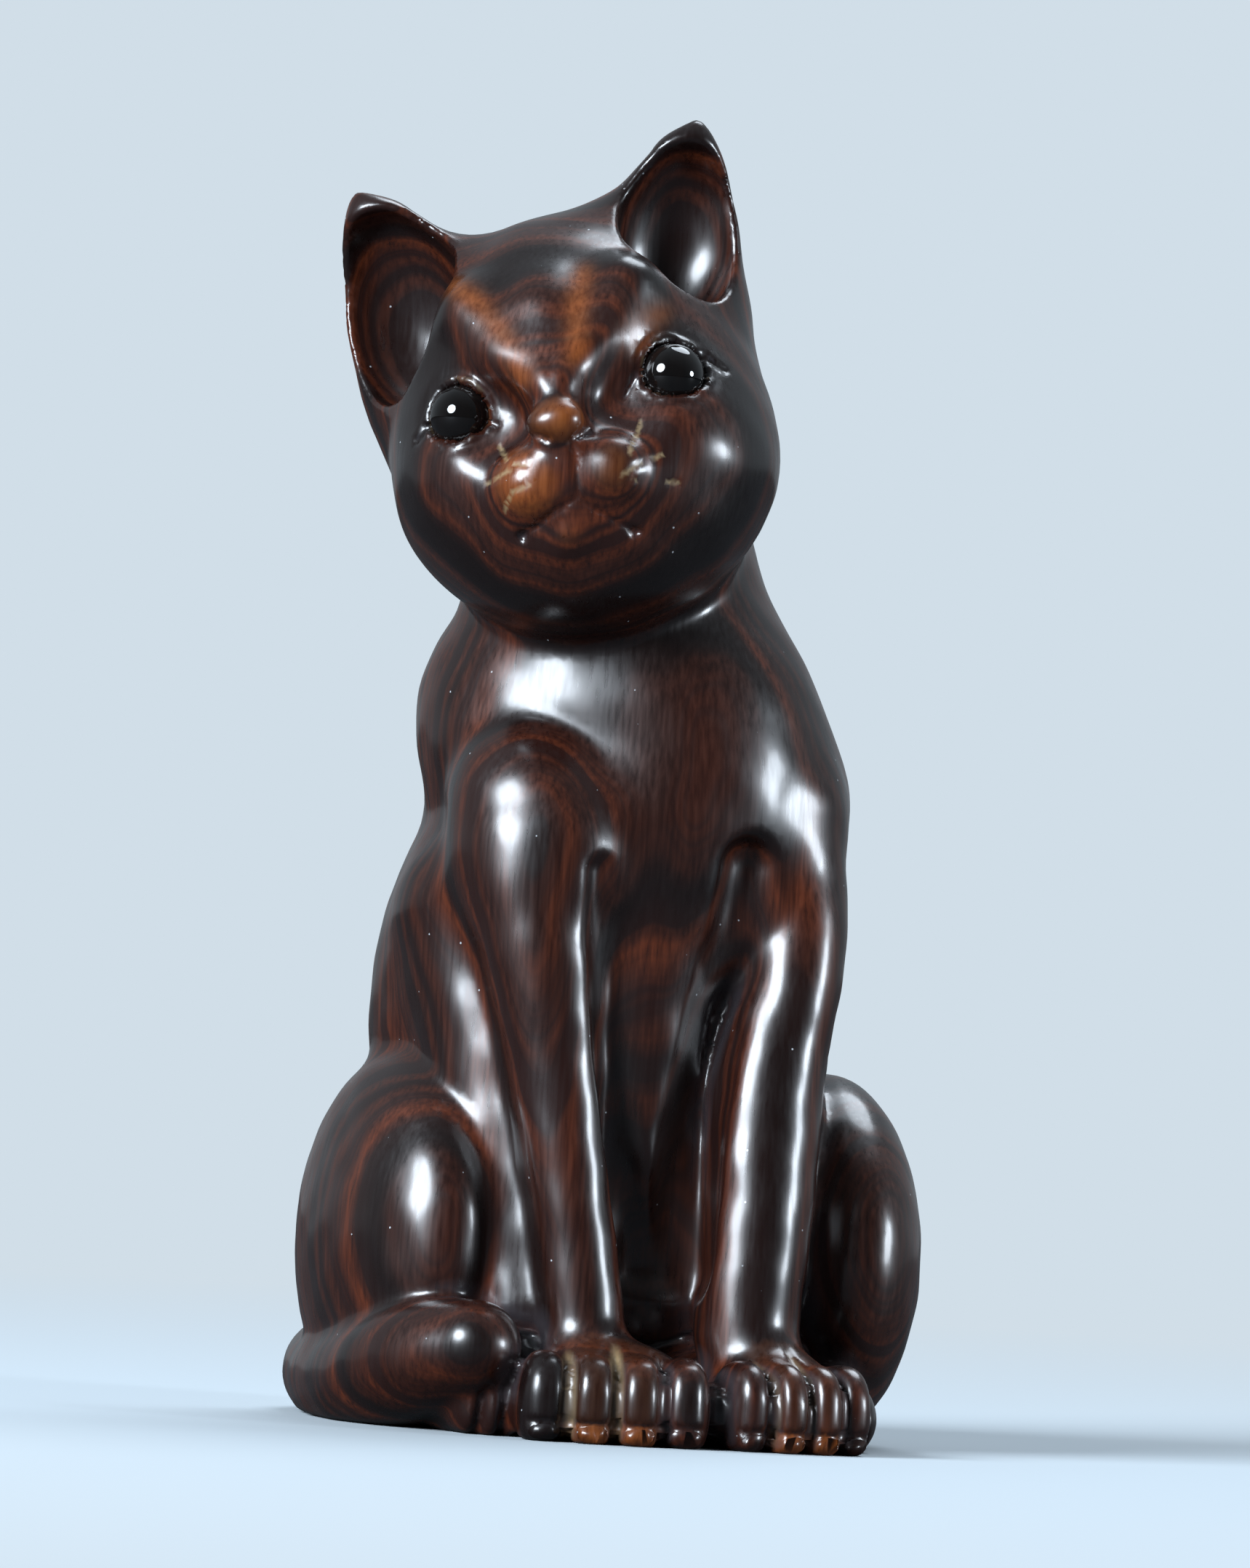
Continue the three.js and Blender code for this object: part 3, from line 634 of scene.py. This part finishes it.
# Eyes: two black horn studs, turned with a polished dome and a short peg, pressed into drilled seats.
# The dome stands a little out of the lids and mirrors the lamps as small bright points.
PEG_RADIUS = 1.25
PEG_DEPTH = 0.7
DOME_SWEEP = math.radians(100)
DOME_STEPS = 14
DOME_TURNS = 48


def black_horn():
    horn = bpy.data.materials.new("polished_black_horn")
    horn.use_nodes = True
    tree = horn.node_tree
    shader = tree.nodes["Principled BSDF"]
    place = add_node(tree, "ShaderNodeTexCoord")["Object"]
    spread = {"Vector": place, "Scale": per_metre(0.5, 0.5, 1.5)}
    spread = add_node(tree, "ShaderNodeMapping", spread)["Vector"]
    cloud = add_node(tree, "ShaderNodeTexNoise", {"Vector": spread, "Scale": 1.0, "Detail": 2.0})["Fac"]
    tint = {0: cloud, 6: linear("#050505"), 7: linear("#120e0d")}
    tint = add_node(tree, "ShaderNodeMix", tint, data_type="RGBA")[2]
    tree.links.new(tint, shader.inputs["Base Color"])
    shader.inputs["Roughness"].default_value = 0.05
    shader.inputs["IOR"].default_value = 1.54
    return horn


horn = black_horn()
for name, eye in EYES.items():
    stud = bmesh.new()
    profile = [(0, EYE_RADIUS)]
    for n in range(1, DOME_STEPS + 1):
        angle = n / DOME_STEPS * DOME_SWEEP
        profile.append((EYE_RADIUS * math.sin(angle), EYE_RADIUS * math.cos(angle)))
    profile += [(PEG_RADIUS, -PEG_DEPTH), (0, -PEG_DEPTH)]
    ring = [stud.verts.new((across, 0, along)) for across, along in profile]
    outline = [stud.edges.new(pair) for pair in zip(ring, ring[1:])]
    axle = {"cent": (0, 0, 0), "axis": (0, 0, 1), "angle": math.tau}
    bmesh.ops.spin(stud, geom=ring + outline, **axle, steps=DOME_TURNS, use_merge=True)
    bmesh.ops.remove_doubles(stud, verts=stud.verts, dist=1e-4)
    bmesh.ops.recalc_face_normals(stud, faces=stud.faces)
    facing = np.stack([eye["level"], eye["upright"], eye["outward"]], 1)
    turned = Matrix((HEAD_TURN @ facing).tolist()).to_4x4()
    centre = Vector(out_of_head(eye["centre"])) * MM
    seat = Matrix.Translation(centre) @ turned @ Matrix.Scale(MM, 4)
    bmesh.ops.transform(stud, matrix=seat, verts=stud.verts)
    for face in stud.faces:
        face.smooth = True
    mesh = bpy.data.meshes.new(f"{name}_stud")
    stud.to_mesh(mesh)
    piece = bpy.data.objects.new(f"{name}_stud", mesh)
    bpy.context.scene.collection.objects.link(piece)
    mesh.materials.append(horn)
    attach(piece, "root")
    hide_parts(name)

# Stage: a plain table in matt pale paint that fades into a pale room, with a dim room in front.
# The polish mirrors a darker table than the camera sees, as if the cat stood on a small plinth.
TABLE_RADIUS = 3.0
FADE_FROM = 0.03
FADE_TO = 0.2
ROOM_COLOUR = "#d1dee8"
TABLE_COLOUR = "#b3bcc2"
MIRRORED_TABLE_COLOUR = "#3d4043"


def pale_table():
    paint = bpy.data.materials.new("pale_table_paint")
    paint.use_nodes = True
    tree = paint.node_tree
    shader = tree.nodes["Principled BSDF"]
    shader.inputs["Roughness"].default_value = 0.8
    shader.inputs["Specular IOR Level"].default_value = 0.1
    seen = add_node(tree, "ShaderNodeLightPath")["Is Camera Ray"]
    tint = {0: seen, 6: linear(MIRRORED_TABLE_COLOUR), 7: linear(TABLE_COLOUR)}
    tint = add_node(tree, "ShaderNodeMix", tint, data_type="RGBA")[2]
    tree.links.new(tint, shader.inputs["Base Color"])
    place = add_node(tree, "ShaderNodeTexCoord")["Object"]
    reach = add_node(tree, "ShaderNodeVectorMath", {0: place}, operation="LENGTH")["Value"]
    far = {"Value": reach, "From Min": FADE_FROM, "From Max": FADE_TO}
    far = add_node(tree, "ShaderNodeMapRange", far)[0]
    share = add_node(tree, "ShaderNodeMath", {0: far, 1: seen}, operation="MULTIPLY")[0]
    glow = add_node(tree, "ShaderNodeEmission", {"Color": linear(ROOM_COLOUR), "Strength": 1.0})[0]
    mix = add_node(tree, "ShaderNodeMixShader", {0: share, 1: shader.outputs[0], 2: glow})[0]
    tree.links.new(mix, tree.nodes["Material Output"].inputs["Surface"])
    return paint


table_top = bmesh.new()
bmesh.ops.create_circle(table_top, cap_ends=True, segments=96, radius=TABLE_RADIUS)
table_mesh = bpy.data.meshes.new("table")
table_top.to_mesh(table_mesh)
table = bpy.data.objects.new("table", table_mesh)
bpy.context.scene.collection.objects.link(table)
table_mesh.materials.append(pale_table())

room = bpy.data.worlds.new("pale_room")
bpy.context.scene.world = room
room.use_nodes = True
tree = room.node_tree
tree.nodes.clear()
towards = add_node(tree, "ShaderNodeTexCoord")["Generated"]
back_wall = {0: towards, 1: (0.31, 0.95, 0.1)}
back_wall = add_node(tree, "ShaderNodeVectorMath", back_wall, operation="DOT_PRODUCT")["Value"]
lit = {"Value": back_wall, "From Min": -0.75, "From Max": 0.5, "To Min": 0.06, "To Max": 0.45}
lit = add_node(tree, "ShaderNodeMapRange", lit)[0]
seen = add_node(tree, "ShaderNodeLightPath")["Is Camera Ray"]
strength = add_node(tree, "ShaderNodeMath", {0: seen, 1: lit}, operation="MAXIMUM")[0]
glow = add_node(tree, "ShaderNodeBackground", {"Color": linear(ROOM_COLOUR), "Strength": strength})[0]
add_node(tree, "ShaderNodeOutputWorld", {"Surface": glow})

# Camera: a long lens almost level with the middle of the cat and a little to its right.
# It is rolled slightly, because the picture leans.
PICTURE = (1719, 2156)
PIXELS_PER_MM = 31.7
AIM = Vector((-0.7, 0, 28.1)) * MM
AZIMUTH, ELEVATION, ROLL = math.radians(-18), math.radians(-1), math.radians(3.5)
DISTANCE = 0.5

back = Vector(
    (
        math.sin(AZIMUTH) * math.cos(ELEVATION),
        -math.cos(AZIMUTH) * math.cos(ELEVATION),
        math.sin(ELEVATION),
    )
)
right = Vector((math.cos(AZIMUTH), math.sin(AZIMUTH), 0))
up = back.cross(right)
leaning_right = right * math.cos(ROLL) + up * math.sin(ROLL)
leaning_up = up * math.cos(ROLL) - right * math.sin(ROLL)
camera_data = bpy.data.cameras.new("camera")
camera_data.sensor_width = 36
camera_data.lens = 36 * PIXELS_PER_MM * DISTANCE / MM / max(PICTURE)
camera_data.clip_start = 0.01
camera = bpy.data.objects.new("camera", camera_data)
camera.matrix_world = Matrix.Translation(AIM + back * DISTANCE) @ Matrix(
    (leaning_right, leaning_up, back)
).transposed().to_4x4()
bpy.context.scene.collection.objects.link(camera)
bpy.context.scene.camera = camera

# Lamps: two soft round lamps stand left and right of the camera, as the points in the eyes show.
# A third lights the back from above. Rows are degrees to the right, degrees up, width in metres and watts.
LAMPS = {
    "left_lamp": (-44, 24, 0.4, 15.0),
    "right_lamp": (74, 10, 0.2, 4.0),
    "top_lamp": (150, 62, 0.5, 5.0),
}
LAMP_DISTANCE = 0.8
for name, (aside, above, width, watts) in LAMPS.items():
    turn, lift = math.radians(aside), math.radians(above)
    level = back * math.cos(turn) + right * math.sin(turn)
    towards = level * math.cos(lift) + Vector((0, 0, 1)) * math.sin(lift)
    light = bpy.data.lights.new(name, "AREA")
    light.shape = "DISK"
    light.size = width
    light.energy = watts
    light.color = linear("#e6f1fc")[:3]
    lamp = bpy.data.objects.new(name, light)
    lamp.location = AIM + towards * LAMP_DISTANCE
    lamp.rotation_mode = "QUATERNION"
    lamp.rotation_quaternion = towards.to_track_quat("Z", "Y")
    lamp.visible_camera = False
    bpy.context.scene.collection.objects.link(lamp)

bpy.context.scene.view_settings.view_transform = "Standard"
